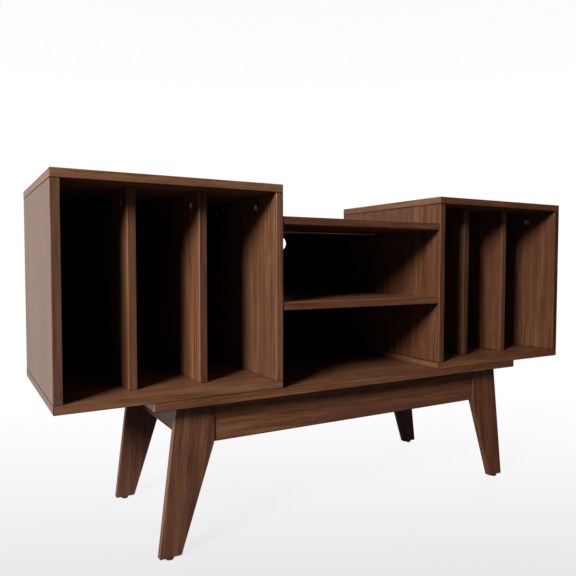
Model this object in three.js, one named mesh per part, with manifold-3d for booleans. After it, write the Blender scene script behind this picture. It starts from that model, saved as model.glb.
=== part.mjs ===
// Record cabinet: two open boxes and a turntable shelf on a base board with four plate legs.
// Millimetres, +Z up. X runs along the front, left to right, and Y from the front to the back.
// The origin is on the floor under the middle of the cabinet.
import * as THREE from "three";
import { mergeVertices } from "three/addons/utils/BufferGeometryUtils.js";
import Module from "manifold-3d";

const wasm = await Module();
wasm.setup();

// Cabinet
const cabinetDepth = 386;
const boardThickness = 16;
const edgeEase = 1;

// Boxes, left and right of the centre bay
const boxWidth = 426;
const boxHeight = 400;
const bayCount = 3;
const dividerRecess = 56;
const centreBayWidth = 414;

// Back panels, let in between top and bottom boards
const backThickness = 3;
const backEase = 0.4;
const backSideInset = 1;

// Shelves in the centre bay
const turntableShelfDrop = 61;
const shelfRecess = 2;

// Slim metal strip across the underside of the turntable shelf
const stripSetback = 239;
const stripWidth = 12;
const stripThickness = 2;
const stripEase = 0.4;

// Cable hole in the centre back panel, below the turntable shelf
const cableHoleDiameter = 35;
const cableHoleDrop = 24;

// Base
const baseBoardLength = 932;
const legHeight = 279;
const legThickness = 15;
const legSetback = 22.5;
const legEndInset = 48;
const legTopWidth = 74;
const legFootWidth = 42;
const legSplay = 34;
const apronHeight = 76;
const apronRecess = 3.5;
const sideApronInset = 30;
const glideHeight = 5;
const glideDiameter = 15;
const glideEase = 1.5;

// Cam locks between the uprights and the top boards, and the wood left past the barrel and the bolt
const camDiameter = 15;
const camCover = 3.5;
const camDrop = 24;
const camSideSetback = 88;
const camDividerSetback = 45;
const camSlotLength = 8;
const camSlotWidth = 1.8;
const camSlotDepth = 1.5;
const boltDiameter = 6;
const boltCover = 5;

// Dowels in the shelf ends and behind the legs, and the wood left past their short end
const dowelDiameter = 8;
const dowelLength = 30;
const dowelCover = 6;
const dowelEase = 1;
const shelfDowelSetback = 60;

// Clearance of hidden fittings in their holes, and how far a cut runs past a face
const fitClearance = 0.3;
const cutOverrun = 1;

// Segments round a cam or glide, round a hidden bolt or dowel, and round the cable hole
const roundSegments = 24;
const hiddenSegments = 12;
const cableHoleSegments = 48;

// Heights and places that follow from the sizes above
const frontY = -cabinetDepth / 2;
const backY = cabinetDepth / 2;
const panelFrontY = backY - backThickness;
const baseBoardBottom = glideHeight + legHeight;
const boxBottom = baseBoardBottom + boardThickness;
const boxTop = boxBottom + boxHeight;
const uprightBottom = boxBottom + boardThickness;
const uprightTop = boxTop - boardThickness;
const uprightHeight = uprightTop - uprightBottom;
const innerFaceX = centreBayWidth / 2;
const outerFaceX = innerFaceX + boxWidth;
const turntableShelfTop = boxTop - turntableShelfDrop;
const turntableShelfBottom = turntableShelfTop - boardThickness;
const middleShelfBottom = (boxBottom + turntableShelfBottom - boardThickness) / 2;
const legTopOuter = baseBoardLength / 2 - legEndInset;
const legInnerOffset = legTopOuter - legTopWidth;
const legFootOuter = legTopOuter + legSplay;
const camZ = uprightTop - camDrop;
const camDepth = boardThickness - camCover;
const boltTop = boxTop - boltCover;

// Finishes
const walnut = new THREE.MeshStandardMaterial({ color: 0x6b4630, roughness: 0.5, metalness: 0 });
const blackBoard = new THREE.MeshStandardMaterial({ color: 0x14110f, roughness: 0.8, metalness: 0 });
const zinc = new THREE.MeshStandardMaterial({ color: 0x93928e, roughness: 0.4, metalness: 1 });
const beech = new THREE.MeshStandardMaterial({ color: 0xc9a56f, roughness: 0.7, metalness: 0 });
const stripMetal = new THREE.MeshStandardMaterial({ color: 0xb9b9b6, roughness: 0.35, metalness: 1 });
const glidePlastic = new THREE.MeshStandardMaterial({ color: 0x231f1c, roughness: 0.6, metalness: 0 });

const X = new THREE.Vector3(1, 0, 0);
const Y = new THREE.Vector3(0, 1, 0);
const Z = new THREE.Vector3(0, 0, 1);

// Turns from a flat outline drawn in x and y, thick along z, to the three ways a board faces
const lyingFlat = new THREE.Matrix4().makeBasis(X, Y, Z);
const facingSideways = new THREE.Matrix4().makeBasis(Y, Z, X);
const facingFront = new THREE.Matrix4().makeBasis(X, Z, Y.clone().negate());

// Turns from a round body drawn about y to one about each axis
const uprightTo = {
  x: new THREE.Matrix4().makeBasis(Y, X, Z.clone().negate()),
  y: new THREE.Matrix4(),
  z: new THREE.Matrix4().makeBasis(X, Z, Y.clone().negate()),
};

const cabinet = new THREE.Group();

function addPiece(name, geometry, material, x, y, z) {
  const piece = new THREE.Mesh(geometry, material);
  piece.name = name;
  piece.position.set(x, y, z);
  cabinet.add(piece);
  return piece;
}

// Outline with every corner cut by the ease
function easedShape(corners, ease) {
  const points = [];
  corners.forEach((corner, index) => {
    const before = corners[(index + corners.length - 1) % corners.length];
    const after = corners[(index + 1) % corners.length];
    for (const neighbour of [before, after]) {
      const along = neighbour.clone().sub(corner).setLength(ease);
      points.push(corner.clone().add(along));
    }
  });
  return new THREE.Shape(points);
}

// Plate of an outline, middle of its thickness at zero, with eased edges all round
function plateGeometry(corners, thickness, ease, turn) {
  const geometry = new THREE.ExtrudeGeometry(easedShape(corners, ease), {
    depth: thickness - 2 * ease,
    bevelEnabled: true,
    bevelThickness: ease,
    bevelSize: ease,
    bevelOffset: -ease,
    bevelSegments: 1,
  });
  geometry.translate(0, 0, ease - thickness / 2);
  geometry.applyMatrix4(turn);
  return geometry;
}

function rectangle(width, height) {
  return [
    new THREE.Vector2(-width / 2, -height / 2),
    new THREE.Vector2(width / 2, -height / 2),
    new THREE.Vector2(width / 2, height / 2),
    new THREE.Vector2(-width / 2, height / 2),
  ];
}

// Round bar from one flat end to the other, along an axis, with its middle at zero
function barGeometry(diameter, length, axis, segments) {
  const geometry = new THREE.CylinderGeometry(diameter / 2, diameter / 2, length, segments);
  return geometry.applyMatrix4(uprightTo[axis]);
}

function toSolid(geometry) {
  const bare = geometry.clone();
  bare.deleteAttribute("normal");
  bare.deleteAttribute("uv");
  const merged = mergeVertices(bare);
  return new wasm.Manifold(
    new wasm.Mesh({
      numProp: 3,
      vertProperties: new Float32Array(merged.attributes.position.array),
      triVerts: new Uint32Array(merged.index.array),
    }),
  );
}

function toGeometry(solid) {
  const mesh = solid.getMesh();
  const indexed = new THREE.BufferGeometry();
  indexed.setAttribute("position", new THREE.BufferAttribute(mesh.vertProperties, 3));
  indexed.setIndex(new THREE.BufferAttribute(mesh.triVerts, 1));
  const geometry = indexed.toNonIndexed();
  geometry.computeVertexNormals();
  return geometry;
}

function cut(geometry, cutters) {
  let solid = toSolid(geometry);
  for (const cutter of cutters) {
    solid = solid.subtract(toSolid(cutter));
  }
  return toGeometry(solid);
}

// Cuts that a piece needs, each drawn in the cabinet's frame
function cutPiece(piece, cutters) {
  const { x, y, z } = piece.position;
  const local = cutters.map((cutter) => cutter.clone().translate(-x, -y, -z));
  piece.geometry = cut(piece.geometry, local);
}

// Board that lies flat, by its ends, its edges and the height of its underside
function flatBoard(name, fromX, toX, fromY, toY, bottom) {
  const corners = rectangle(toX - fromX, toY - fromY);
  const geometry = plateGeometry(corners, boardThickness, edgeEase, lyingFlat);
  const middleZ = bottom + boardThickness / 2;
  return addPiece(name, geometry, walnut, (fromX + toX) / 2, (fromY + toY) / 2, middleZ);
}

// Upright board of a box, from its front edge back to the back panel
function upright(name, middleX, fromY) {
  const corners = rectangle(panelFrontY - fromY, uprightHeight);
  const geometry = plateGeometry(corners, boardThickness, edgeEase, facingSideways);
  const middleZ = (uprightBottom + uprightTop) / 2;
  return addPiece(name, geometry, walnut, middleX, (fromY + panelFrontY) / 2, middleZ);
}

function backPanel(name, fromX, toX, bottom, top) {
  const corners = rectangle(toX - fromX, top - bottom);
  const geometry = plateGeometry(corners, backThickness, backEase, facingFront);
  const middleY = backY - backThickness / 2;
  return addPiece(name, geometry, blackBoard, (fromX + toX) / 2, middleY, (bottom + top) / 2);
}

// Cam lock, face flush with the upright on the side that faceSign names, bolt up into the top board
function camLock(name, uprightX, y, faceSign) {
  const slot = new THREE.BoxGeometry(camSlotDepth + cutOverrun, camSlotWidth, camSlotLength);
  const slotAcross = new THREE.BoxGeometry(camSlotDepth + cutOverrun, camSlotLength, camSlotWidth);
  const slotX = faceSign * (camDepth / 2 - (camSlotDepth - cutOverrun) / 2);
  slot.translate(slotX, 0, 0);
  slotAcross.translate(slotX, 0, 0);
  const barrel = cut(barGeometry(camDiameter, camDepth, "x", roundSegments), [slot, slotAcross]);
  const boltLength = boltTop - camZ;
  const bolt = barGeometry(boltDiameter, boltLength, "z", hiddenSegments);
  const camX = uprightX + faceSign * (boardThickness - camDepth) / 2;
  bolt.translate(uprightX - camX, 0, boltLength / 2);
  const geometry = toGeometry(toSolid(barrel).add(toSolid(bolt)));
  addPiece(name, geometry, zinc, camX, y, camZ);
}

// Pocket for a cam lock's barrel and the bore for its bolt
function camCutters(uprightX, y, faceSign) {
  const pocketDepth = camDepth + fitClearance;
  const pocketDiameter = camDiameter + 2 * fitClearance;
  const pocket = barGeometry(pocketDiameter, pocketDepth + cutOverrun, "x", roundSegments);
  const faceX = uprightX + faceSign * boardThickness / 2;
  pocket.translate(faceX - faceSign * (pocketDepth - cutOverrun) / 2, y, camZ);
  return { pocket, bore: boltBore(uprightX, y) };
}

function boltBore(uprightX, y) {
  const boreTop = boltTop + fitClearance;
  const bore = barGeometry(boltDiameter + 2 * fitClearance, boreTop - camZ, "z", hiddenSegments);
  return bore.translate(uprightX, y, (boreTop + camZ) / 2);
}

function dowelGeometry(axis) {
  const radius = dowelDiameter / 2;
  const half = dowelLength / 2;
  const profile = [
    new THREE.Vector2(0, -half),
    new THREE.Vector2(radius - dowelEase, -half),
    new THREE.Vector2(radius, dowelEase - half),
    new THREE.Vector2(radius, half - dowelEase),
    new THREE.Vector2(radius - dowelEase, half),
    new THREE.Vector2(0, half),
  ];
  return new THREE.LatheGeometry(profile, hiddenSegments).applyMatrix4(uprightTo[axis]);
}

function dowelBore(axis, x, y, z) {
  const diameter = dowelDiameter + 2 * fitClearance;
  const length = dowelLength + 2 * fitClearance;
  return barGeometry(diameter, length, axis, hiddenSegments).translate(x, y, z);
}

// Base board, which is also the floor of the centre bay
flatBoard("base_board", -baseBoardLength / 2, baseBoardLength / 2, frontY, backY, baseBoardBottom);

// One box; side is -1 for the left and 1 for the right
function box(prefix, side) {
  const nearX = side * innerFaceX;
  const farX = side * outerFaceX;
  const fromX = Math.min(nearX, farX);
  const toX = Math.max(nearX, farX);
  flatBoard(`${prefix}_box_bottom`, fromX, toX, frontY, backY, boxBottom);
  const top = flatBoard(`${prefix}_box_top`, fromX, toX, frontY, backY, uprightTop);
  backPanel(`${prefix}_box_back`, fromX + backSideInset, toX - backSideInset, uprightBottom, uprightTop);

  const outerX = farX - side * boardThickness / 2;
  const innerX = nearX + side * boardThickness / 2;
  const pitch = (boxWidth - boardThickness) / bayCount;
  const uprights = [
    { name: "outer_side", x: outerX, fromY: frontY, camSetback: camSideSetback, camFace: -side },
    { name: "inner_side", x: innerX, fromY: frontY, camSetback: camSideSetback, camFace: side },
  ];
  for (let count = 1; count < bayCount; count += 1) {
    uprights.push({
      name: `divider_${count}`,
      x: outerX - side * count * pitch,
      fromY: frontY + dividerRecess,
      camSetback: camDividerSetback,
      camFace: side,
    });
  }

  const pieces = {};
  for (const { name, x, fromY, camSetback, camFace } of uprights) {
    const board = upright(`${prefix}_box_${name}`, x, fromY);
    const camPlaces = { front: fromY + camSetback, rear: panelFrontY - camSetback };
    for (const [place, y] of Object.entries(camPlaces)) {
      const { pocket, bore } = camCutters(x, y, camFace);
      cutPiece(board, [pocket, bore]);
      cutPiece(top, [bore]);
      camLock(`${prefix}_${name}_cam_lock_${place}`, x, y, camFace);
    }
    pieces[name] = board;
  }
  return pieces;
}

const leftBox = box("left", -1);
const rightBox = box("right", 1);

// Shelf between the boxes, doweled into their inner sides
function centreShelf(name, bottom) {
  const shelf = flatBoard(name, -innerFaceX, innerFaceX, frontY + shelfRecess, panelFrontY, bottom);
  const middleZ = bottom + boardThickness / 2;
  const sides = [
    { label: "left", side: -1, innerSide: leftBox.inner_side },
    { label: "right", side: 1, innerSide: rightBox.inner_side },
  ];
  const places = {
    front: frontY + shelfRecess + shelfDowelSetback,
    rear: panelFrontY - shelfDowelSetback,
  };
  for (const { label, side, innerSide } of sides) {
    for (const [place, y] of Object.entries(places)) {
      const x = side * (innerFaceX + boardThickness - dowelCover - dowelLength / 2);
      const bore = dowelBore("x", x, y, middleZ);
      cutPiece(shelf, [bore]);
      cutPiece(innerSide, [bore]);
      addPiece(`${name}_dowel_${label}_${place}`, dowelGeometry("x"), beech, x, y, middleZ);
    }
  }
}

centreShelf("turntable_shelf", turntableShelfBottom);
centreShelf("middle_shelf", middleShelfBottom);

// Strip under the turntable shelf
addPiece(
  "turntable_shelf_strip",
  plateGeometry(rectangle(centreBayWidth, stripWidth), stripThickness, stripEase, lyingFlat),
  stripMetal,
  0,
  frontY + stripSetback + stripWidth / 2,
  turntableShelfBottom - stripThickness / 2,
);

// Centre back panel, standing on the base board and closing on the turntable shelf's rear edge
const centreBack = backPanel("centre_back", -innerFaceX, innerFaceX, boxBottom, turntableShelfTop);
const cableHole = barGeometry(
  cableHoleDiameter, backThickness + 2 * cutOverrun, "y", cableHoleSegments,
);
cableHole.translate(0, backY - backThickness / 2, turntableShelfBottom - cableHoleDrop);
cutPiece(centreBack, [cableHole]);

// Aprons, upright boards under the base board
const apronMiddleZ = baseBoardBottom - apronHeight / 2;
const legFrontY = frontY + legSetback;
const legBackY = legFrontY + legThickness;
const frontApronY = legFrontY + apronRecess + boardThickness / 2;
for (const [place, sign] of Object.entries({ front: 1, rear: -1 })) {
  addPiece(
    `${place}_apron`,
    plateGeometry(rectangle(2 * legInnerOffset, apronHeight), boardThickness, edgeEase, facingFront),
    walnut,
    0,
    sign * frontApronY,
    apronMiddleZ,
  );
}

const sideApronX = legInnerOffset + sideApronInset + boardThickness / 2;
const sideAprons = {};
for (const [label, side] of Object.entries({ left: -1, right: 1 })) {
  sideAprons[label] = addPiece(
    `${label}_apron`,
    plateGeometry(rectangle(-2 * legBackY, apronHeight), boardThickness, edgeEase, facingSideways),
    walnut,
    side * sideApronX,
    0,
    apronMiddleZ,
  );
}

// Leg outline: straight down the apron's end, then tapering out to the foot
function legCorners(side) {
  const corners = [
    [legInnerOffset, legHeight],
    [legInnerOffset, legHeight - apronHeight],
    [legFootOuter - legFootWidth, 0],
    [legFootOuter, 0],
    [legTopOuter, legHeight],
  ];
  return corners.map(([offset, height]) => new THREE.Vector2(side * offset, height));
}

function glideGeometry() {
  const radius = glideDiameter / 2;
  const profile = [
    new THREE.Vector2(0, 0),
    new THREE.Vector2(radius - glideEase, 0),
    new THREE.Vector2(radius, glideEase),
    new THREE.Vector2(radius, glideHeight),
    new THREE.Vector2(0, glideHeight),
  ];
  return new THREE.LatheGeometry(profile, roundSegments).applyMatrix4(uprightTo.z);
}

// Legs, each with its glide and the dowel into the side apron
const footMiddleOffset = legFootOuter - legFootWidth / 2;
const legMiddleY = legFrontY + legThickness / 2;
for (const [depth, sign] of Object.entries({ front: 1, rear: -1 })) {
  for (const [label, side] of Object.entries({ left: -1, right: 1 })) {
    const place = `${depth}_${label}`;
    const legY = sign * legMiddleY;
    const leg = addPiece(
      `${place}_leg`,
      plateGeometry(legCorners(side), legThickness, edgeEase, facingFront),
      walnut,
      0,
      legY,
      glideHeight,
    );
    const dowelX = side * sideApronX;
    const dowelY = sign * (legFrontY + dowelCover + dowelLength / 2);
    const bore = dowelBore("y", dowelX, dowelY, apronMiddleZ);
    cutPiece(leg, [bore]);
    cutPiece(sideAprons[label], [bore]);
    addPiece(`${place}_leg_dowel`, dowelGeometry("y"), beech, dowelX, dowelY, apronMiddleZ);
    addPiece(`${place}_glide`, glideGeometry(), glidePlastic, side * footMiddleOffset, legY, 0);
  }
}

export default cabinet;
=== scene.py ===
import math

import bmesh
import bpy
from mathutils import Matrix, Vector


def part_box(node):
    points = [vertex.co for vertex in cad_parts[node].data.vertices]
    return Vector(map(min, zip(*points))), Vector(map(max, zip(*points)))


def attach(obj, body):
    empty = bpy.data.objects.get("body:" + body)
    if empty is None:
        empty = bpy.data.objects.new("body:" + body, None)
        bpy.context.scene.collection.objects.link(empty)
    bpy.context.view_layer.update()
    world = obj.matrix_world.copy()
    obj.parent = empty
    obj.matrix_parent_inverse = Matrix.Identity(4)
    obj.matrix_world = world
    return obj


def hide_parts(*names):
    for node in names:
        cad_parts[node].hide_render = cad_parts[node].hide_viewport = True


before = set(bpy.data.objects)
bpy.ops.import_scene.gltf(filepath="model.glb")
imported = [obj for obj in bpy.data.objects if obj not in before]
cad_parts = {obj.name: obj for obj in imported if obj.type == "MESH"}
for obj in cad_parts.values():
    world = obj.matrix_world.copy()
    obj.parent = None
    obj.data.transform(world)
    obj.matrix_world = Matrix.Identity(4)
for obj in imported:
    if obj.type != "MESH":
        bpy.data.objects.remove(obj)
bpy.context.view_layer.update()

# Record cabinet in walnut laminate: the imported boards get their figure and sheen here, the cam
# locks, the glides and the centre back panel are made anew, and the panel pins and the screws
# from below are added.
# Metres, +Z up, X along the front from left to right, Y from the front to the back.
MM = 0.001

# The camera of the photograph: place, turn from straight back towards the right, tilt, roll,
# lens and sensor in millimetres, and the distances between which it sees
CAMERA_PLACE = (-0.7692, -1.1933, 0.5494)
CAMERA_TURN = math.radians(29.788)
CAMERA_TILT = math.radians(-2.544)
CAMERA_ROLL = math.radians(0.06)
CAMERA_LENS = 36.64
CAMERA_SENSOR = 36.0
CAMERA_NEAR = 0.05
CAMERA_FAR = 60.0

# Large soft lamps: place, what it points at, width and power in watts
KEY_LAMP = ((-2.50, -1.42, 1.87), (0.0, -0.1, 0.42), 0.90, 165.0)
REAR_LAMP = ((2.7, 1.7, 1.8), (0.0, 0.0, 0.4), 1.6, 60.0)
ROOM_LIGHT = 0.12

# How the white surroundings show in the sheen: their warm tone, behind the cabinet, and in front
SHEEN_TONE = (1.0, 0.95, 0.88)
SHEEN_BEHIND = 1.0
SHEEN_IN_FRONT = 0.06
SHEEN_OF_FLOOR = 0.10

# Where the sheen changes from front to behind: by the direction all round, and in metres on the
# floor, where the way to the left counts as well, with this weight
SHEEN_CHANGE = (0.05, 0.55)
FLOOR_SHEEN_CHANGE = (0.1, 0.5)
FLOOR_SHEEN_LEFT = 0.8

# The white that the camera sees falls to this level between these upward parts of a direction
WHITE_FALL = (0.24, 0.42)
WHITE_ABOVE = 0.966

# Floor: white beyond a distance from the camera, its painted shade falling off towards the camera and
# its darkest level, how much of the lamps' shading shows in it near the cabinet, the level of that
# shading, what it throws back, the distances between which it turns white all round, and its size
FLOOR_WHITE_AT = 2.5
FLOOR_PAINTED_FALLOFF = 0.091
FLOOR_DARKEST = 0.75
FLOOR_SHADING = 0.045
FLOOR_SHADED_LEVEL = 0.7
FLOOR_BOUNCE = 0.15
FLOOR_FADE = (1.2, 2.6)
FLOOR_SIZE = 14.0

# Walnut laminate, dark to light, and the cooler, plum coloured streaks in it
WALNUT_DARK = (0.076, 0.0275, 0.0125)
WALNUT_MIDDLE = (0.115, 0.0455, 0.0205)
WALNUT_WARM = (0.150, 0.0630, 0.0290)
WALNUT_LIGHT = (0.198, 0.0940, 0.0470)
WALNUT_PLUM = (0.118, 0.0455, 0.0265)
# Pale edge strip colour, which also serves as a painted highlight on the arrises
WALNUT_BANDING_AND_HIGHLIGHT = (0.24, 0.140, 0.090)

# Zinc, from handled to bright: of the locks, glides' nails and screws, and of the darker pins
ZINC = ((0.66, 0.64, 0.61), (0.82, 0.80, 0.77))
PIN_ZINC = ((0.16, 0.155, 0.15), (0.26, 0.25, 0.24))

# Which way each board lies: the axes of its grain, its width and its thickness
LYING = ("X", "Y", "Z")
UPRIGHT = ("Z", "Y", "X")
FACING = ("X", "Z", "Y")
SIDEWAYS = ("Y", "Z", "X")
LEG = ("Z", "X", "Y")
AXES = {"X": Vector((1, 0, 0)), "Y": Vector((0, 1, 0)), "Z": Vector((0, 0, 1))}

BOARDS = {
    "base_board": LYING,
    "turntable_shelf": LYING,
    "middle_shelf": LYING,
    "front_apron": FACING,
    "rear_apron": FACING,
    "left_apron": SIDEWAYS,
    "right_apron": SIDEWAYS,
}
for side in ("left", "right"):
    BOARDS[f"{side}_box_bottom"] = LYING
    BOARDS[f"{side}_box_top"] = LYING
    for upright in ("outer_side", "inner_side", "divider_1", "divider_2"):
        BOARDS[f"{side}_box_{upright}"] = UPRIGHT
    for depth in ("front", "rear"):
        BOARDS[f"{depth}_{side}_leg"] = LEG

# Boards whose ends stand free, without a joint at their arrises
FREE_ENDS = ("left_box_top", "right_box_top", "base_board")

# Boards that carry others, with a fine joint along their upper arrises as well, and how dark
# that joint is against the others
CARRYING = ("left_box_bottom", "right_box_bottom", "base_board")
CARRYING_JOINT = 0.4

# How much of the pale edge strip shows along the arrises; it is partly the strip and partly a painted
# highlight on them
EDGE_BANDING_AND_HIGHLIGHT = {UPRIGHT: 0.3, LYING: 0.05}
OUTER_BANDING_AND_HIGHLIGHT = 0.05

# Shine of the laminate on the boards, and on the legs
BOARD_SHINE = 0.18
LEG_SHINE = 0.25

# How far a leg leans outwards, which its grain follows
LEG_LEAN = math.radians(5.0)

# How much duller the side aprons and the legs' edges are, where the underside of a lying board
# counts as 1
DULL_SIDE_APRON = 0.2
DULL_LEG_EDGE = 0.3

# Limits for the parts of a surface's direction: those of a face that looks along an axis, of an
# eased arris, of the side that an arris is on, and of an underside
FACE_LIMIT = 0.5
ARRIS_LIMIT = 0.85
SIDE_LIMIT = 0.4
UNDERSIDE_LIMIT = -0.9

# Where each board's piece of the figure starts, so that no two are alike
FIGURE_STEP = (1.7, 0.53, 0.29)

# The legs taper, so they get no border along their outline: it is set out of reach
OUT_OF_REACH = 9.0

# Layers of the figure: how fine along the grain and across it, detail, roughness and share
FIGURE_LAYERS = {
    "broad": (1.5, 15.0, 2.0, 0.5, 0.5),
    "band": (2.0, 66.0, 2.0, 0.5, 0.8),
    "mottle": (7.0, 95.0, 2.0, 0.5, 0.6),
    "streak": (5.0, 210.0, 2.0, 0.55, 1.0),
    "fine": (24.0, 480.0, 1.0, 0.5, 0.6),
}

# Where along the figure each tone of the walnut lies
WALNUT_STOPS = (
    (0.18, WALNUT_DARK),
    (0.42, WALNUT_MIDDLE),
    (0.60, WALNUT_WARM),
    (0.88, WALNUT_LIGHT),
)

# How fine the grain's bends, its tongues, the plum coloured streaks and the pores are, along
# the grain, across it and through
LONG_BENDS = (2.0, 9.0, 9.0)
SHORT_BENDS = (11.0, 26.0, 26.0)
TONGUES = (1.5, 13.0, 13.0)
PLUM_STREAKS = (3.0, 42.0, 42.0)
PORES = (60.0, 1500.0, 1500.0)

# Plum coloured streaks: where their noise starts, the levels between which they come up, and
# their share
PLUM_START = (7.0, 3.0, 5.0)
PLUM_LEVELS = (0.47, 0.64)
PLUM_SHARE = 0.7

# Levels between which the pores come up
PORE_LEVELS = (0.60, 0.70)

# How much the pores, the hairline, and a joint together with the painted shade on downward arrises
# darken the walnut
PORE_SHADE = 0.35
HAIRLINE_SHADE = 0.3
JOINT_AND_PAINTED_SHADE = 0.85

# Roughness: plain, and what the streaks, the pores, joints and shaded downward arrises, and a dull
# face add to it
ROUGHNESS = 0.37
STREAK_ROUGHNESS = 0.16
PORE_ROUGHNESS = 0.12
JOINT_AND_SHADE_ROUGHNESS = 0.5
DULL_ROUGHNESS = 0.4

# Relief: depth of the pores and of the hairline, and height of the fine figure
PORE_DEPTH = 1.0
HAIRLINE_DEPTH = 1.2
FINE_HEIGHT = 0.5

# Growth lines: their distance, how far they shift with the depth in the board, how far the
# tongues draw them out, and their share
LINE_PITCH = 0.0105
LINE_SLANT = 0.6
TONGUE_REACH = 11.0
LINE_SHARE = 0.045

# How far the grain wanders sideways, in its long bends and in its short ones
LONG_BEND_REACH = 0.018
SHORT_BEND_REACH = 0.005

# Where an edge strip's own figure starts, against that of the face beside it
EDGE_STRIP_START = (0.31, 0.17, 0.11)

# Border of the edge strip: its width, its soft end, and the hairline inside it
BORDER_WIDTH = 2.1 * MM
BORDER_END = 2.3 * MM
HAIRLINE_PLACE = 2.5 * MM
HAIRLINE_CORE = 0.2 * MM
HAIRLINE_END = 0.4 * MM

# Profiles of the turned fittings, as radius and height in millimetres
CAM_PROFILE = (
    (0.0, -12.5),
    (6.9, -12.5),
    (7.3, -12.1),
    (7.3, -2.2),
    (7.5, -1.9),
    (7.5, -0.9),
    (7.2, -0.35),
    (6.7, 0.0),
    (6.2, 0.0),
    (5.6, -0.4),
    (5.2, -0.9),
    (3.0, -1.0),
    (0.0, -1.0),
)
BOLT_PROFILE = (
    (0.0, 0.0),
    (2.6, 0.0),
    (3.0, 0.5),
    (3.0, 2.0),
    (1.7, 3.2),
    (1.7, 10.0),
    (3.0, 11.0),
    (3.0, 27.0),
    (1.8, 28.6),
    (0.0, 28.6),
)
GLIDE_PROFILE = (
    (0.0, 1.3),
    (2.6, 1.3),
    (2.9, 0.3),
    (3.4, 0.0),
    (5.9, 0.0),
    (6.7, 0.3),
    (7.25, 0.9),
    (7.5, 1.8),
    (7.5, 4.4),
    (7.3, 5.0),
    (0.0, 5.0),
)
NAIL_PROFILE = (
    (0.0, 0.5),
    (1.7, 0.6),
    (2.2, 0.9),
    (2.2, 1.3),
    (0.0, 1.3),
)
PIN_PROFILE = (
    (0.0, -1.5),
    (0.7, -1.5),
    (0.7, -0.3),
    (1.6, 0.0),
    (1.5, 0.12),
    (0.8, 0.25),
    (0.0, 0.28),
)
SCREW_PROFILE = (
    (0.0, -4.0),
    (1.9, -4.0),
    (1.9, -2.6),
    (3.9, -0.4),
    (4.0, 0.0),
    (3.7, 0.2),
    (0.0, 0.24),
)

# Cross recesses in millimetres: length and width of an arm, depth, and height of the face they
# are cut into. At the bottom they are this much of their size.
CAM_CROSS = (7.6, 1.9, 1.8, -1.0)
SCREW_CROSS = (4.6, 1.1, 1.6, 0.24)
CROSS_TAPER = 0.55

# Cam locks: radius of the barrel, start of the bolt above its middle, and the most that one is
# turned by chance to either side
CAM_RADIUS = 7.5 * MM
BOLT_START = 6.0 * MM
CAM_TURN = math.radians(32.0)
CAM_SEED = 4

# Pins of the back panels: how many on a board, and how far the outermost are from its ends
PIN_COUNT = 6
UPRIGHT_PIN_GAP = 24.0 * MM
SHELF_PIN_GAP = 25.0 * MM

# Screws from below: shares of an upright's depth, places under the base board, and the most
# that one is turned by chance to either side
UPRIGHT_SCREWS = (0.14, 0.5, 0.86)
BASE_SCREWS_ACROSS = (0.245, 0.330, 0.430)
BASE_SCREW_DEPTH = 0.105
SCREW_TURN = math.pi / 2.0
SCREW_SEED = 7

# Centre back panel: the distance within which vertices are joined, the one beyond which they
# are at its sides, and the height over which it grows wider
WELD_DISTANCE = 0.01 * MM
PANEL_SIDE_FROM = 0.2
PANEL_STEP = 0.2 * MM

# Tint of the faces of single boards against the rest. The sheets of laminate differ, and the
# tints also make up for how the lamps here light each board, seen from the camera's place.
FACE_TINTS = {
    "left_box_outer_side": (0.80, 0.88, 0.92),
    "left_box_inner_side": (0.93, 0.98, 1.00),
    "right_box_inner_side": (0.75, 0.72, 0.72),
    "right_box_divider_1": (0.80, 0.77, 0.77),
    "right_box_divider_2": (0.85, 0.82, 0.82),
    "right_box_outer_side": (0.82, 0.80, 0.82),
    "front_apron": (0.93, 0.88, 0.89),
    "left_apron": (1.25, 1.18, 1.10),
    "right_apron": (1.25, 1.18, 1.10),
    "front_left_leg": (0.84, 0.84, 0.92),
    "front_right_leg": (0.90, 0.72, 0.66),
    "rear_left_leg": (0.78, 0.76, 0.86),
    "rear_right_leg": (0.87, 0.72, 0.63),
}

# The same for the strips on their long edges
EDGE_TINTS = {
    "base_board": (1.02, 0.97, 0.94),
    "turntable_shelf": (0.75, 0.68, 0.75),
    "middle_shelf": (0.99, 0.94, 0.92),
    "left_box_top": (1.02, 1.10, 1.07),
    "left_box_bottom": (1.04, 1.06, 1.07),
    "left_box_outer_side": (0.62, 0.68, 0.85),
    "left_box_divider_1": (0.77, 0.79, 0.75),
    "left_box_divider_2": (0.60, 0.60, 0.73),
    "left_box_inner_side": (1.08, 1.12, 1.17),
    "right_box_inner_side": (0.84, 0.77, 0.78),
    "right_box_divider_2": (0.75, 0.70, 0.70),
    "right_box_outer_side": (0.58, 0.46, 0.43),
    "right_box_top": (0.96, 0.78, 0.66),
    "right_box_bottom": (1.29, 1.14, 0.97),
}


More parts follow.
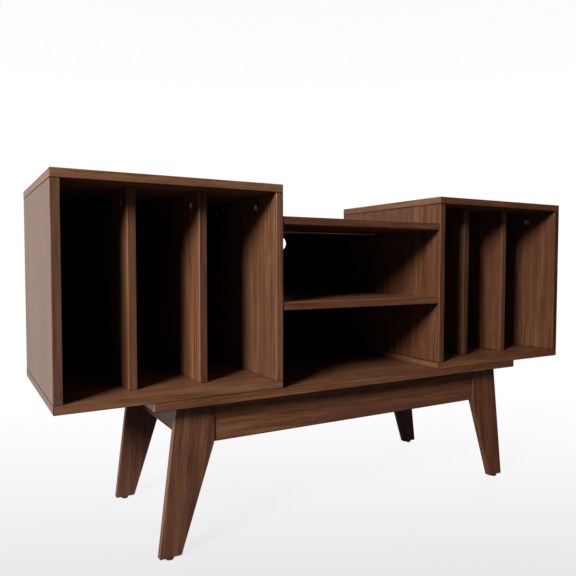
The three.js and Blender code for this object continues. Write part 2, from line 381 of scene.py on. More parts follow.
class Wiring:
    """Nodes of one tree, joined as they are made. A value may be a number or another node's output."""

    def __init__(self, tree):
        self.tree = tree

    def node(self, kind, **settings):
        made = self.tree.nodes.new(kind)
        for name, value in settings.items():
            setattr(made, name, value)
        return made

    def put(self, socket, value):
        if isinstance(value, bpy.types.NodeSocket):
            self.tree.links.new(value, socket)
        elif isinstance(value, (tuple, Vector)) and len(value) == 3 and socket.type == "RGBA":
            socket.default_value = (*value, 1.0)
        else:
            socket.default_value = value

    def calc(self, operation, first, second=0.0, third=0.0, clamp=False):
        made = self.node("ShaderNodeMath", operation=operation, use_clamp=clamp)
        for socket, value in zip(made.inputs, (first, second, third)):
            self.put(socket, value)
        return made.outputs[0]

    def vector(self, operation, first, second=(0.0, 0.0, 0.0)):
        made = self.node("ShaderNodeVectorMath", operation=operation)
        self.put(made.inputs[0], first)
        self.put(made.inputs[1], second)
        return made.outputs[0]

    def split(self, value):
        made = self.node("ShaderNodeSeparateXYZ")
        self.put(made.inputs[0], value)
        return made.outputs[0], made.outputs[1], made.outputs[2]

    def join(self, x, y, z):
        made = self.node("ShaderNodeCombineXYZ")
        for socket, value in zip(made.inputs, (x, y, z)):
            self.put(socket, value)
        return made.outputs[0]

    def own_place(self):
        return self.node("ShaderNodeTexCoord").outputs["Object"]

    def stretch(self, value, factors):
        return self.vector("MULTIPLY", value, factors)

    def noise(self, value, detail=2.0, roughness=0.5):
        made = self.node("ShaderNodeTexNoise")
        self.put(made.inputs["Vector"], value)
        made.inputs["Scale"].default_value = 1.0
        made.inputs["Detail"].default_value = detail
        made.inputs["Roughness"].default_value = roughness
        return made.outputs["Fac"]

    def range(self, value, low, high, to_low=0.0, to_high=1.0, smooth=False):
        made = self.node("ShaderNodeMapRange", clamp=True)
        made.interpolation_type = "SMOOTHSTEP" if smooth else "LINEAR"
        for socket, setting in zip(made.inputs, (value, low, high, to_low, to_high)):
            self.put(socket, setting)
        return made.outputs[0]

    def mix_vectors(self, share, first, second):
        made = self.node("ShaderNodeMix", data_type="VECTOR")
        self.put(made.inputs[0], share)
        self.put(made.inputs[4], first)
        self.put(made.inputs[5], second)
        return made.outputs[1]

    def mix_colours(self, share, first, second):
        made = self.node("ShaderNodeMix", data_type="RGBA")
        self.put(made.inputs[0], share)
        self.put(made.inputs[6], first)
        self.put(made.inputs[7], second)
        return made.outputs[2]

    def ramp(self, value, stops):
        made = self.node("ShaderNodeValToRGB")
        elements = made.color_ramp.elements
        while len(elements) < len(stops):
            elements.new(0.5)
        for element, (place, colour) in zip(elements, stops):
            element.position = place
            element.color = (*colour, 1.0)
        self.put(made.inputs[0], value)
        return made.outputs[0]


def new_finish(name):
    """An empty material with its shader, and the wiring to build it with."""
    finish = bpy.data.materials.new(name)
    finish.use_nodes = True
    finish.node_tree.nodes.clear()
    wiring = Wiring(finish.node_tree)
    shader = wiring.node("ShaderNodeBsdfPrincipled")
    output = wiring.node("ShaderNodeOutputMaterial")
    wiring.put(output.inputs["Surface"], shader.outputs[0])
    return finish, wiring, shader


def new_tree(name, kind, inputs, outputs):
    """An empty tree with named sockets, the wiring to build it with, and its two ends."""
    tree = bpy.data.node_groups.new(name, kind)
    for way, sockets in (("INPUT", inputs), ("OUTPUT", outputs)):
        for label, sort in sockets:
            tree.interface.new_socket(label, in_out=way, socket_type=f"NodeSocket{sort}")
    wiring = Wiring(tree)
    given = wiring.node("NodeGroupInput").outputs
    result = wiring.node("NodeGroupOutput").inputs
    return tree, wiring, given, result


def add_bump(wiring, shader, height, strength, distance):
    bump = wiring.node("ShaderNodeBump")
    bump.inputs["Strength"].default_value = strength
    bump.inputs["Distance"].default_value = distance
    wiring.put(bump.inputs["Height"], height)
    wiring.put(shader.inputs["Normal"], bump.outputs[0])


def walnut_figure():
    """Figure of the laminate, from a place on the board: along the grain, across it and through."""
    inputs = (
        ("Place", "Vector"),
        ("Half Size", "Vector"),
        ("Start", "Vector"),
        ("End Face", "Float"),
        ("Edge Face", "Float"),
        ("Arris", "Float"),
        ("Joint And Shade", "Float"),
        ("Banding And Highlight", "Float"),
        ("Dull", "Float"),
        ("Tint", "Vector"),
    )
    outputs = (("Colour", "Color"), ("Roughness", "Float"), ("Height", "Float"))
    group, w, given, result = new_tree("walnut_figure", "ShaderNodeTree", inputs, outputs)

    # On the two end faces the strip's grain runs across the board
    along, across, through = w.split(given["Place"])
    along_strip = w.join(across, along, through)
    place = w.mix_vectors(given["End Face"], given["Place"], along_strip)
    place = w.vector("ADD", place, given["Start"])
    other_strip = w.join(*(w.calc("MULTIPLY", given["Edge Face"], far) for far in EDGE_STRIP_START))
    place = w.vector("ADD", place, other_strip)

    # The grain wanders on its way along the board, in long bends and in short ones
    wander = w.noise(w.stretch(place, LONG_BENDS), detail=2.0)
    wander = w.calc("SUBTRACT", wander, 0.5)
    sideways = w.calc("MULTIPLY", wander, LONG_BEND_REACH)
    ripple = w.noise(w.stretch(place, SHORT_BENDS), detail=1.0)
    ripple = w.calc("SUBTRACT", ripple, 0.5)
    sideways = w.calc("MULTIPLY_ADD", ripple, SHORT_BEND_REACH, sideways)
    place = w.vector("ADD", place, w.join(0.0, sideways, sideways))

    pore_noise = w.noise(w.stretch(place, PORES), detail=1.0)
    pores = w.range(pore_noise, *PORE_LEVELS, smooth=True)

    # Growth lines, drawn out into long tongues
    _, line_place, line_depth = w.split(place)
    tongues = w.noise(w.stretch(place, TONGUES), detail=1.0)
    lines = w.calc("MULTIPLY_ADD", line_depth, LINE_SLANT, line_place)
    lines = w.calc("MULTIPLY", lines, 2.0 * math.pi / LINE_PITCH)
    lines = w.calc("SINE", w.calc("MULTIPLY_ADD", tongues, TONGUE_REACH, lines))

    figure = w.calc("MULTIPLY_ADD", lines, LINE_SHARE, 0.5)
    layers = {}
    for name, (lengthways, crossways, detail, roughness, share) in FIGURE_LAYERS.items():
        stretched = w.stretch(place, (lengthways, crossways, crossways))
        layers[name] = w.noise(stretched, detail, roughness)
        figure = w.calc("MULTIPLY_ADD", w.calc("SUBTRACT", layers[name], 0.5), share, figure)
    colour = w.ramp(figure, WALNUT_STOPS)
    plum_place = w.vector("ADD", w.stretch(place, PLUM_STREAKS), PLUM_START)
    plum = w.range(w.noise(plum_place, detail=2.0), *PLUM_LEVELS, 0.0, PLUM_SHARE)
    colour = w.mix_colours(plum, colour, WALNUT_PLUM)

    # The edge strip shows beside the arris as a lighter border, with a dark hairline inside it; the
    # lighter border is partly a painted highlight on the arris
    gap = w.vector("SUBTRACT", given["Half Size"], w.vector("ABSOLUTE", given["Place"]))
    gap_along, gap_across, _ = w.split(gap)
    on_face = w.calc("SUBTRACT", 1.0, given["Edge Face"], clamp=True)
    nearest = w.calc("MINIMUM", gap_along, gap_across)
    hairline = w.calc("ABSOLUTE", w.calc("SUBTRACT", nearest, HAIRLINE_PLACE))
    hairline = w.range(hairline, HAIRLINE_CORE, HAIRLINE_END, 1.0, 0.0)
    hairline = w.calc("MULTIPLY", hairline, on_face)
    pale_border_and_highlight = w.range(gap_across, BORDER_WIDTH, BORDER_END, 1.0, 0.0)
    pale_border_and_highlight = w.calc("MULTIPLY", pale_border_and_highlight, on_face)
    pale_border_and_highlight = w.calc("MAXIMUM", pale_border_and_highlight, given["Arris"])
    pale_border_and_highlight = w.calc("MULTIPLY", pale_border_and_highlight, w.calc("SUBTRACT", 1.0, given["Joint And Shade"]))
    colour = w.mix_colours(w.calc("MULTIPLY", pale_border_and_highlight, given["Banding And Highlight"]), colour, WALNUT_BANDING_AND_HIGHLIGHT)

    shade = w.calc("MULTIPLY_ADD", pores, -PORE_SHADE, 1.0)
    shade = w.calc("MULTIPLY_ADD", hairline, -HAIRLINE_SHADE, shade)
    # Joints are darkened, and downward arrises with them as painted shade
    joint_and_shade_factor = w.calc("MULTIPLY_ADD", given["Joint And Shade"], -JOINT_AND_PAINTED_SHADE, 1.0)
    shade = w.calc("MULTIPLY", shade, joint_and_shade_factor)
    colour = w.vector("MULTIPLY", colour, w.join(shade, shade, shade))
    colour = w.vector("MULTIPLY", colour, given["Tint"])

    streaks = w.calc("SUBTRACT", layers["streak"], 0.5)
    rough = w.calc("MULTIPLY_ADD", streaks, STREAK_ROUGHNESS, ROUGHNESS)
    rough = w.calc("MULTIPLY_ADD", pores, PORE_ROUGHNESS, rough)
    rough = w.calc("MULTIPLY_ADD", given["Joint And Shade"], JOINT_AND_SHADE_ROUGHNESS, rough)
    rough = w.calc("MULTIPLY_ADD", given["Dull"], DULL_ROUGHNESS, rough)
    height = w.calc("MULTIPLY", layers["fine"], FINE_HEIGHT)
    height = w.calc("MULTIPLY_ADD", pores, -PORE_DEPTH, height)
    height = w.calc("MULTIPLY_ADD", hairline, -HAIRLINE_DEPTH, height)
    w.put(result["Colour"], colour)
    w.put(result["Roughness"], rough)
    w.put(result["Height"], height)
    return group


def walnut_board(name, lie, figure, number):
    """The laminate on one board, its figure centred on the board and turned to its grain."""
    finish, w, shader = new_finish(f"walnut_{name}")
    low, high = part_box(name)
    grain, width, thickness = (AXES[axis] for axis in lie)
    turn = Matrix((grain, width, grain.cross(width))).transposed()
    if lie == LEG:
        lean = LEG_LEAN * (1.0 if "left" in name else -1.0)
        turn = Matrix.Rotation(lean, 3, "Y") @ turn
    mapping = w.node("ShaderNodeMapping", vector_type="TEXTURE")
    mapping.inputs["Location"].default_value = (low + high) / 2
    mapping.inputs["Rotation"].default_value = turn.to_euler("XYZ")
    w.put(mapping.inputs["Vector"], w.own_place())

    facing = w.node("ShaderNodeNewGeometry").outputs["True Normal"]
    _, _, upward = w.split(facing)
    parts = dict(zip("XYZ", w.split(w.vector("ABSOLUTE", facing))))
    end_face = w.calc("GREATER_THAN", parts[lie[0]], FACE_LIMIT)
    edge_face = w.calc("LESS_THAN", parts[lie[2]], FACE_LIMIT)
    flattest = w.calc("MAXIMUM", w.calc("MAXIMUM", parts["X"], parts["Y"]), parts["Z"])
    arris = w.calc("LESS_THAN", flattest, ARRIS_LIMIT)
    at_end = w.calc("GREATER_THAN", parts[lie[0]], SIDE_LIMIT)
    joint_and_shade = w.calc("MULTIPLY", at_end, 0.0 if name in FREE_ENDS else 1.0)
    # Downward arrises of all but the uprights are darkened as well: painted shade, not joints
    if lie != UPRIGHT:
        joint_and_shade = w.calc("MAXIMUM", joint_and_shade, w.calc("LESS_THAN", upward, -SIDE_LIMIT))
    if name in CARRYING:
        above = w.calc("GREATER_THAN", upward, SIDE_LIMIT)
        above = w.calc("MULTIPLY", above, CARRYING_JOINT)
        joint_and_shade = w.calc("MAXIMUM", joint_and_shade, above)
    joint_and_shade = w.calc("MULTIPLY", joint_and_shade, arris)

    # The pale edge strip along the arrises is partly a painted highlight
    banding_and_highlight = EDGE_BANDING_AND_HIGHLIGHT.get(lie, 0.0)
    if name.endswith("outer_side"):
        banding_and_highlight = OUTER_BANDING_AND_HIGHLIGHT
    dull = 0.0
    if lie == LYING:
        dull = w.calc("LESS_THAN", upward, UNDERSIDE_LIMIT)
    if lie == SIDEWAYS:
        dull = DULL_SIDE_APRON
    if lie == LEG:
        dull = w.calc("MULTIPLY", edge_face, DULL_LEG_EDGE)
    plain = (1.0, 1.0, 1.0)
    face_tint = Vector(FACE_TINTS.get(name, plain))
    edge_tint = Vector(EDGE_TINTS.get(name, plain))
    long_edge = w.calc("SUBTRACT", edge_face, end_face, clamp=True)

    half = (high - low) / 2
    half_size = Vector((half.dot(grain), half.dot(width), half.dot(thickness)))
    if lie == LEG:
        half_size = Vector((OUT_OF_REACH, OUT_OF_REACH, OUT_OF_REACH))
        end_face = 0.0
    sheet = w.node("ShaderNodeGroup")
    sheet.node_tree = figure
    w.put(sheet.inputs["Place"], mapping.outputs[0])
    w.put(sheet.inputs["Half Size"], half_size)
    w.put(sheet.inputs["Start"], Vector([step * number for step in FIGURE_STEP]))
    w.put(sheet.inputs["End Face"], end_face)
    w.put(sheet.inputs["Edge Face"], edge_face)
    w.put(sheet.inputs["Arris"], arris)
    w.put(sheet.inputs["Joint And Shade"], joint_and_shade)
    w.put(sheet.inputs["Banding And Highlight"], banding_and_highlight)
    w.put(sheet.inputs["Dull"], dull)
    w.put(sheet.inputs["Tint"], w.mix_vectors(long_edge, face_tint, edge_tint))
    w.put(shader.inputs["Base Color"], sheet.outputs["Colour"])
    w.put(shader.inputs["Roughness"], sheet.outputs["Roughness"])
    shader.inputs["Specular IOR Level"].default_value = LEG_SHINE if lie == LEG else BOARD_SHINE
    add_bump(w, shader, sheet.outputs["Height"], strength=0.35, distance=0.12 * MM)
    return finish


def black_panel():
    """Thin hardboard, printed matt black, with the faint pimples of its pressed face."""
    finish, w, shader = new_finish("black_panel")
    place = w.own_place()
    cloud = w.noise(w.stretch(place, (9.0, 9.0, 9.0)), detail=3.0)
    pimples = w.noise(w.stretch(place, (900.0, 900.0, 900.0)), detail=2.0)
    tint = w.calc("MULTIPLY_ADD", w.calc("SUBTRACT", cloud, 0.5), 0.8, 0.5)
    tint = w.calc("MULTIPLY_ADD", w.calc("SUBTRACT", pimples, 0.5), 0.6, tint, clamp=True)
    colour = w.ramp(tint, ((0.0, (0.006, 0.005, 0.0045)), (1.0, (0.012, 0.0105, 0.0095))))
    w.put(shader.inputs["Base Color"], colour)
    w.put(shader.inputs["Roughness"], w.range(cloud, 0.3, 0.7, 0.72, 0.86))
    shader.inputs["Specular IOR Level"].default_value = 0.12
    add_bump(w, shader, pimples, strength=0.3, distance=0.1 * MM)
    return finish


def zinc_finish(name, dark, light):
    """Zinc: a fine grain, duller where it has been handled."""
    finish, w, shader = new_finish(name)
    place = w.own_place()
    grain = w.noise(w.stretch(place, (2600.0, 2600.0, 2600.0)), detail=2.0)
    dull = w.noise(w.stretch(place, (160.0, 160.0, 160.0)), detail=3.0)
    colour = w.ramp(dull, ((0.3, dark), (0.7, light)))
    w.put(shader.inputs["Base Color"], colour)
    shader.inputs["Metallic"].default_value = 0.8
    w.put(shader.inputs["Roughness"], w.range(dull, 0.3, 0.7, 0.5, 0.3))
    add_bump(w, shader, grain, strength=0.25, distance=0.05 * MM)
    return finish


def satin_aluminium():
    """The slim strip: aluminium brushed along its length, under a pale matt coat."""
    finish, w, shader = new_finish("satin_aluminium")
    place = w.own_place()
    brushed = w.noise(w.stretch(place, (12.0, 5200.0, 5200.0)), detail=2.0)
    cloud = w.noise(w.stretch(place, (14.0, 60.0, 60.0)), detail=2.0)
    colour = w.ramp(brushed, ((0.25, (0.80, 0.80, 0.79)), (0.75, (0.90, 0.90, 0.89))))
    w.put(shader.inputs["Base Color"], colour)
    shader.inputs["Metallic"].default_value = 0.2
    w.put(shader.inputs["Roughness"], w.range(cloud, 0.3, 0.7, 0.46, 0.36))
    add_bump(w, shader, brushed, strength=0.3, distance=0.04 * MM)
    return finish


def plain_beech():
    """Beech dowels: pale wood with the short dark flecks of beech."""
    finish, w, shader = new_finish("plain_beech")
    place = w.own_place()
    streak = w.noise(w.stretch(place, (60.0, 300.0, 400.0)), detail=2.0)
    flecks = w.range(w.noise(w.stretch(place, (400.0, 1800.0, 1500.0)), detail=1.0), 0.6, 0.7)
    colour = w.ramp(streak, ((0.3, (0.50, 0.31, 0.13)), (0.7, (0.64, 0.43, 0.20))))
    colour = w.mix_colours(w.calc("MULTIPLY", flecks, 0.5), colour, (0.30, 0.16, 0.07))
    w.put(shader.inputs["Base Color"], colour)
    w.put(shader.inputs["Roughness"], w.range(streak, 0.3, 0.7, 0.66, 0.74))
    add_bump(w, shader, streak, strength=0.2, distance=0.1 * MM)
    return finish


def glide_plastic():
    """Hard dark brown plastic, scuffed a little underneath."""
    finish, w, shader = new_finish("glide_plastic")
    place = w.own_place()
    scuff = w.noise(w.stretch(place, (900.0, 240.0, 500.0)), detail=3.0)
    colour = w.ramp(scuff, ((0.35, (0.046, 0.024, 0.014)), (0.75, (0.078, 0.043, 0.026))))
    w.put(shader.inputs["Base Color"], colour)
    w.put(shader.inputs["Roughness"], w.range(scuff, 0.3, 0.7, 0.48, 0.66))
    shader.inputs["Specular IOR Level"].default_value = 0.25
    add_bump(w, shader, scuff, strength=0.2, distance=0.05 * MM)
    return finish


def give_finish(name, finish):
    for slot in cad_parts[name].material_slots:
        slot.material = finish


def turned(profile, segments):
    """A mesh turned about +Z from a profile in millimetres, first and last point on the axis."""
    mesh = bmesh.new()
    rings = []
    for point in profile:
        radius, height = (size * MM for size in point)
        if radius == 0.0:
            rings.append([mesh.verts.new((0.0, 0.0, height))])
            continue
        ring = []
        for count in range(segments):
            angle = 2.0 * math.pi * count / segments
            ring.append(mesh.verts.new((radius * math.cos(angle), radius * math.sin(angle), height)))
        rings.append(ring)
    for lower, upper in zip(rings, rings[1:]):
        for count in range(segments):
            after = (count + 1) % segments
            corners = [lower[count % len(lower)], lower[after % len(lower)]]
            corners += [upper[after % len(upper)], upper[count % len(upper)]]
            unique = list(dict.fromkeys(corners))
            mesh.faces.new(unique)
    bmesh.ops.recalc_face_normals(mesh, faces=mesh.faces)
    return mesh


def new_object(name, data):
    made = bpy.data.objects.new(name, data)
    bpy.context.scene.collection.objects.link(made)
    return made


def to_object(name, mesh):
    data = bpy.data.meshes.new(name)
    mesh.to_mesh(data)
    mesh.free()
    return new_object(name, data)


def cut_cross(body, cross):
    """Cuts a cross recess with sloping walls into the top of a fitting."""
    length, width, depth, top = (size * MM for size in cross)
    cutter = bmesh.new()
    for quarter in (0.0, math.pi / 2.0):
        arm = bmesh.ops.create_cube(cutter, size=1.0)["verts"]
        for vert in arm:
            narrow = 1.0 if vert.co.z > 0.0 else CROSS_TAPER
            vert.co.x *= length * narrow
            vert.co.y *= width * narrow
            vert.co.z *= 2.0 * depth
        bmesh.ops.rotate(cutter, verts=arm, matrix=Matrix.Rotation(quarter, 3, "Z"))
        bmesh.ops.translate(cutter, verts=arm, vec=(0.0, 0.0, top))
    tool = to_object("cross_cutter", cutter)
    modifier = body.modifiers.new("cross", "BOOLEAN")
    modifier.operation = "DIFFERENCE"
    modifier.solver = "EXACT"
    modifier.use_self = True
    modifier.object = tool
    settle(body)
    bpy.data.objects.remove(tool)


def settle(made):
    """Puts what the modifiers make into the mesh itself, and takes the modifiers off."""
    graph = bpy.context.evaluated_depsgraph_get()
    data = bpy.data.meshes.new_from_object(made.evaluated_get(graph))
    made.modifiers.clear()
    made.data = data


def fitting_tree():
    """Sets one fitting on every place, facing the way that the place says, each turned by chance."""
    inputs = (
        ("Places", "Geometry"),
        ("Fitting", "Object"),
        ("Size", "Float"),
        ("Turn", "Float"),
        ("Seed", "Int"),
        ("Finish", "Material"),
    )
    outputs = (("Fittings", "Geometry"),)
    tree, w, given, result = new_tree("fittings_in_place", "GeometryNodeTree", inputs, outputs)

    facing = w.node("GeometryNodeInputNamedAttribute", data_type="FLOAT_VECTOR")
    facing.inputs["Name"].default_value = "facing"
    aligned = w.node("FunctionNodeAlignRotationToVector", axis="Z")
    w.put(aligned.inputs["Vector"], facing.outputs[0])
    chance = w.node("FunctionNodeRandomValue", data_type="FLOAT")
    w.put(chance.inputs[2], w.calc("MULTIPLY", given["Turn"], -1.0))
    w.put(chance.inputs[3], given["Turn"])
    w.put(chance.inputs["Seed"], given["Seed"])
    spin = w.node("FunctionNodeAxisAngleToRotation")
    spin.inputs["Axis"].default_value = (0.0, 0.0, 1.0)
    w.put(spin.inputs["Angle"], chance.outputs[1])
    rotation = w.node("FunctionNodeRotateRotation", rotation_space="LOCAL")
    w.put(rotation.inputs[0], aligned.outputs[0])
    w.put(rotation.inputs[1], spin.outputs[0])

    fitting = w.node("GeometryNodeObjectInfo", transform_space="ORIGINAL")
    fitting.inputs["As Instance"].default_value = True
    w.put(fitting.inputs["Object"], given["Fitting"])
    set_out = w.node("GeometryNodeInstanceOnPoints")
    w.put(set_out.inputs["Points"], given["Places"])
    w.put(set_out.inputs["Instance"], fitting.outputs["Geometry"])
    w.put(set_out.inputs["Rotation"], rotation.outputs[0])
    w.put(set_out.inputs["Scale"], w.join(given["Size"], given["Size"], given["Size"]))
    real = w.node("GeometryNodeRealizeInstances")
    w.put(real.inputs[0], set_out.outputs[0])
    painted = w.node("GeometryNodeSetMaterial")
    w.put(painted.inputs["Geometry"], real.outputs[0])
    w.put(painted.inputs["Material"], given["Finish"])
    w.put(result["Fittings"], painted.outputs[0])
    return tree


def set_fittings(name, fitting, places, finish, turn=0.0, seed=1):
    """One piece with a fitting on every place, each place a point and the way it faces."""
    data = bpy.data.meshes.new(name)
    data.from_pydata([point for point, _ in places], [], [])
    facing = data.attributes.new("facing", "FLOAT_VECTOR", "POINT")
    for item, (_, way) in zip(facing.data, places):
        item.vector = way
    piece = new_object(name, data)
    modifier = piece.modifiers.new("fittings", "NODES")
    modifier.node_group = fittings_in_place
    values = {"Fitting": fitting, "Size": 1.0, "Turn": turn, "Seed": seed, "Finish": finish}
    for item in fittings_in_place.interface.items_tree:
        if item.item_type == "SOCKET" and item.in_out == "INPUT" and item.name in values:
            modifier[item.identifier] = values[item.name]
    settle(piece)
    bpy.data.objects.remove(fitting)
    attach(piece, "root")
    return piece


def make_cam_locks(finish):
    """Cam locks: a dished head with a rim and a cross recess, on a barrel, and the bolt in it."""
    head = to_object("cam_lock", turned(CAM_PROFILE, segments=48))
    cut_cross(head, CAM_CROSS)
    names = [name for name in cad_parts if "_cam_lock_" in name]
    places = []
    bolts = []
    for name in sorted(names):
        upright = name.split("_cam_lock_")[0]
        side, board = upright.split("_", 1)
        board_low, board_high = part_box(f"{side}_box_{board}")
        low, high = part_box(name)
        on_left = abs(low.x - board_low.x) < abs(high.x - board_high.x)
        middle = Vector(((low.x + high.x) / 2, (low.y + high.y) / 2, low.z + CAM_RADIUS))
        face = Vector((low.x if on_left else high.x, middle.y, middle.z))
        places.append((face, (-1.0, 0.0, 0.0) if on_left else (1.0, 0.0, 0.0)))
        board_middle = (board_low.x + board_high.x) / 2
        bolts.append(((board_middle, middle.y, middle.z + BOLT_START), (0.0, 0.0, 1.0)))
    locks = set_fittings("cam_locks", head, places, finish, CAM_TURN, CAM_SEED)
    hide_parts(*names)
    bolt = to_object("cam_bolt", turned(BOLT_PROFILE, segments=16))
    set_fittings("cam_bolts", bolt, bolts, finish)


def make_glides(plastic, zinc):
    """Nail-on glides: a rounded plastic foot with its nail head sunk in the middle."""
    names = [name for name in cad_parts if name.endswith("_glide")]
    places = []
    for name in sorted(names):
        low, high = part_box(name)
        places.append((((low.x + high.x) / 2, (low.y + high.y) / 2, low.z), (0.0, 0.0, 1.0)))
    foot = to_object("glide", turned(GLIDE_PROFILE, segments=40))
    glides = set_fittings("glides", foot, places, plastic)
    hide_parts(*names)
    nail = to_object("glide_nail", turned(NAIL_PROFILE, segments=24))
    set_fittings("glide_nails", nail, places, zinc)


def spread(start, end, gap):
    """Places for the pins of one board, even between its ends and a gap away from them."""
    length = end - start - 2.0 * gap
    return [start + gap + count * length / (PIN_COUNT - 1) for count in range(PIN_COUNT)]


def make_panel_pins(finish):
    """Pins through the back panels, into the rear edges of the uprights and the shelves."""
    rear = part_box("centre_back")[1].y
    places = []
    for side in ("left", "right"):
        for board in ("outer_side", "divider_1", "divider_2", "inner_side"):
            low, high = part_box(f"{side}_box_{board}")
            for height in spread(low.z, high.z, UPRIGHT_PIN_GAP):
                places.append((((low.x + high.x) / 2, rear, height), (0.0, 1.0, 0.0)))
    for shelf in ("turntable_shelf", "middle_shelf"):
        low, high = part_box(shelf)
        for across in spread(low.x, high.x, SHELF_PIN_GAP):
            places.append(((across, rear, (low.z + high.z) / 2), (0.0, 1.0, 0.0)))
    pin = to_object("panel_pin", turned(PIN_PROFILE, segments=12))
    set_fittings("back_panel_pins", pin, places, finish)


def make_centre_back(finish):
    """The centre back panel, from a copy of its solid. Above the boxes' bottoms it is a little
    wider and meets the back panels of the boxes, so that no light shows at their joints."""
    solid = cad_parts["centre_back"]
    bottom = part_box("left_box_back")[0].z
    wider = abs(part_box("left_box_back")[1].x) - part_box("centre_back")[1].x
    mesh = bmesh.new()
    mesh.from_mesh(solid.data)
    mesh.transform(solid.matrix_world)
    bmesh.ops.remove_doubles(mesh, verts=mesh.verts, dist=WELD_DISTANCE)
    for height in (bottom, bottom + PANEL_STEP):
        all_of_it = mesh.verts[:] + mesh.edges[:] + mesh.faces[:]
        bmesh.ops.bisect_plane(
            mesh, geom=all_of_it, plane_co=(0.0, 0.0, height), plane_no=(0.0, 0.0, 1.0)
        )
    for vert in mesh.verts:
        if abs(vert.co.x) > PANEL_SIDE_FROM and vert.co.z > bottom + PANEL_STEP / 2.0:
            vert.co.x += math.copysign(wider, vert.co.x)
    panel = to_object("centre_back_panel", mesh)
    panel.data.materials.append(finish)
    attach(panel, "root")
    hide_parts("centre_back")


def make_under_screws(finish):
    """Countersunk screws from below, into the uprights that stand clear of the base board and
    through the base board into the boxes."""
    places = []
    down = (0.0, 0.0, -1.0)
    for side in ("left", "right"):
        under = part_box(f"{side}_box_bottom")[0].z
        for board in ("outer_side", "divider_1"):
            low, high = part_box(f"{side}_box_{board}")
            for share in UPRIGHT_SCREWS:
                depth = low.y + share * (high.y - low.y)
                places.append((((low.x + high.x) / 2, depth, under), down))
    base_low, base_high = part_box("base_board")
    for sign in (-1.0, 1.0):
        for across in BASE_SCREWS_ACROSS:
            for depth in (-BASE_SCREW_DEPTH, BASE_SCREW_DEPTH):
                places.append(((sign * across, depth, base_low.z), down))
    screw = to_object("under_screw", turned(SCREW_PROFILE, segments=32))
    cut_cross(screw, SCREW_CROSS)
    set_fittings("under_screws", screw, places, finish, SCREW_TURN, SCREW_SEED)


def white_surroundings():
    """White all round for the eye, white behind and grey in front for the sheen, dim for light."""
    world = bpy.data.worlds.new("studio")
    world.use_nodes = True
    world.node_tree.nodes.clear()
    w = Wiring(world.node_tree)
    _, back, up = w.split(w.node("ShaderNodeTexCoord").outputs["Generated"])
    seen = w.range(up, *WHITE_FALL, 1.0, WHITE_ABOVE)
    sheen = w.range(back, *SHEEN_CHANGE, SHEEN_IN_FRONT, SHEEN_BEHIND, smooth=True)
    ways = w.node("ShaderNodeLightPath").outputs
    reflected = w.calc("MAXIMUM", ways["Is Glossy Ray"], ways["Is Transmission Ray"])
    strength = w.calc("MULTIPLY", ways["Is Camera Ray"], seen)
    strength = w.calc("MULTIPLY_ADD", reflected, sheen, strength)
    plain = w.calc("SUBTRACT", 1.0, w.calc("MAXIMUM", ways["Is Camera Ray"], reflected))
    strength = w.calc("MULTIPLY_ADD", plain, ROOM_LIGHT, strength)
    background = w.node("ShaderNodeBackground")
    w.put(background.inputs["Color"], w.mix_colours(reflected, (1.0, 1.0, 1.0), SHEEN_TONE))
    w.put(background.inputs["Strength"], strength)
    output = w.node("ShaderNodeOutputWorld")
    w.put(output.inputs["Surface"], background.outputs[0])
    bpy.context.scene.world = world


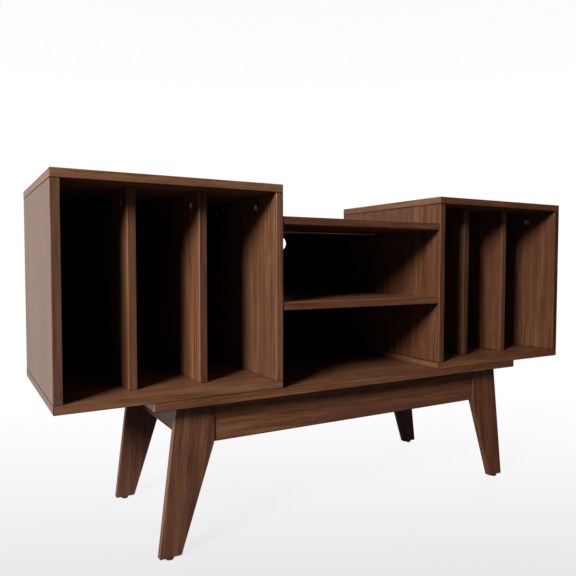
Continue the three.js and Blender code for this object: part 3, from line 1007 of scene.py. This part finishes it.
def pale_floor():
    """White floor with painted shade that falls off gently towards the camera; it keeps the cabinet's
    soft shadow.
    """
    finish = bpy.data.materials.new("pale_floor")
    finish.use_nodes = True
    finish.node_tree.nodes.clear()
    w = Wiring(finish.node_tree)
    place = w.own_place()
    ahead = Vector((math.sin(CAMERA_TURN), math.cos(CAMERA_TURN), 0.0))
    from_camera = w.vector("SUBTRACT", place, Vector(CAMERA_PLACE))
    away = w.node("ShaderNodeVectorMath", operation="DOT_PRODUCT")
    w.put(away.inputs[0], from_camera)
    w.put(away.inputs[1], ahead)
    # Painted shade: the floor's level falls off towards the camera
    short = w.calc("SUBTRACT", FLOOR_WHITE_AT, away.outputs["Value"])
    short = w.calc("MAXIMUM", short, 0.0)
    painted_falloff = w.calc("MULTIPLY", w.calc("MULTIPLY", short, short), FLOOR_PAINTED_FALLOFF)
    painted_falloff = w.calc("MINIMUM", painted_falloff, 1.0 - FLOOR_DARKEST)

    # Away from the cabinet the floor is white all round, so that no horizon shows
    reach = w.node("ShaderNodeVectorMath", operation="LENGTH")
    w.put(reach.inputs[0], place)
    near = w.range(reach.outputs["Value"], *FLOOR_FADE, 1.0, 0.0, smooth=True)
    level = w.calc("SUBTRACT", 1.0, w.calc("MULTIPLY", painted_falloff, near))

    # The lamps' shading fades out likewise, and what it lacks in level is made up
    share = w.calc("MULTIPLY", near, FLOOR_SHADING)
    missing = w.calc("MULTIPLY_ADD", share, -FLOOR_SHADED_LEVEL, 1.0)
    missing = w.calc("DIVIDE", missing, w.calc("SUBTRACT", 1.0, share))
    ways = w.node("ShaderNodeLightPath").outputs
    reflected = w.calc("MAXIMUM", ways["Is Glossy Ray"], ways["Is Transmission Ray"])
    right, back, _ = w.split(place)
    left_and_back = w.calc("MULTIPLY_ADD", right, -FLOOR_SHEEN_LEFT, back)
    sheen = w.range(left_and_back, *FLOOR_SHEEN_CHANGE, SHEEN_OF_FLOOR, SHEEN_BEHIND)
    sheen = w.calc("MULTIPLY_ADD", w.calc("SUBTRACT", sheen, 1.0), reflected, 1.0)
    shaded = w.node("ShaderNodeBsdfDiffuse")
    lit = w.node("ShaderNodeEmission")
    w.put(shaded.inputs["Color"], w.join(level, level, level))
    w.put(lit.inputs["Color"], w.mix_colours(reflected, (1.0, 1.0, 1.0), SHEEN_TONE))
    w.put(lit.inputs["Strength"], w.calc("MULTIPLY", w.calc("MULTIPLY", level, missing), sheen))
    seen = w.node("ShaderNodeMixShader")
    w.put(seen.inputs[0], share)
    w.put(seen.inputs[1], lit.outputs[0])
    w.put(seen.inputs[2], shaded.outputs[0])
    bounce = w.node("ShaderNodeBsdfDiffuse")
    bounce.inputs["Color"].default_value = (FLOOR_BOUNCE, FLOOR_BOUNCE, FLOOR_BOUNCE, 1.0)
    either = w.node("ShaderNodeMixShader")
    w.put(either.inputs[0], w.calc("MAXIMUM", ways["Is Camera Ray"], reflected))
    w.put(either.inputs[1], bounce.outputs[0])
    w.put(either.inputs[2], seen.outputs[0])
    output = w.node("ShaderNodeOutputMaterial")
    w.put(output.inputs["Surface"], either.outputs[0])
    mesh = bmesh.new()
    bmesh.ops.create_grid(mesh, x_segments=1, y_segments=1, size=FLOOR_SIZE)
    floor = to_object("floor", mesh)
    floor.data.materials.append(finish)


def add_lamp(name, place, target, width, power):
    light = bpy.data.lights.new(name, "AREA")
    light.shape = "DISK"
    light.size = width
    light.energy = power
    lamp = new_object(name, light)
    lamp.location = place
    way = Vector(target) - Vector(place)
    lamp.rotation_euler = way.to_track_quat("-Z", "Y").to_euler()


def add_camera():
    lens = bpy.data.cameras.new("camera")
    lens.sensor_width = CAMERA_SENSOR
    lens.lens = CAMERA_LENS
    lens.clip_start = CAMERA_NEAR
    lens.clip_end = CAMERA_FAR
    camera = new_object("camera", lens)
    camera.location = CAMERA_PLACE
    turn = Matrix.Rotation(-CAMERA_TURN, 3, "Z")
    tilt = Matrix.Rotation(math.pi / 2.0 + CAMERA_TILT, 3, "X")
    roll = Matrix.Rotation(CAMERA_ROLL, 3, "Z")
    camera.rotation_euler = (turn @ tilt @ roll).to_euler()
    bpy.context.scene.camera = camera


bpy.context.scene.view_settings.view_transform = "Standard"
add_camera()
add_lamp("key_lamp", *KEY_LAMP)
add_lamp("rear_lamp", *REAR_LAMP)
white_surroundings()
pale_floor()

figure = walnut_figure()
for number, (name, lie) in enumerate(sorted(BOARDS.items())):
    give_finish(name, walnut_board(name, lie, figure, number))
black = black_panel()
for name in ("left_box_back", "right_box_back"):
    give_finish(name, black)
give_finish("turntable_shelf_strip", satin_aluminium())
beech = plain_beech()
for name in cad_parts:
    if "_dowel" in name:
        give_finish(name, beech)

zinc = zinc_finish("bright_zinc", *ZINC)
pin_zinc = zinc_finish("dark_zinc", *PIN_ZINC)
fittings_in_place = fitting_tree()
make_cam_locks(zinc)
make_glides(glide_plastic(), zinc)
make_panel_pins(pin_zinc)
make_under_screws(zinc)
make_centre_back(black)

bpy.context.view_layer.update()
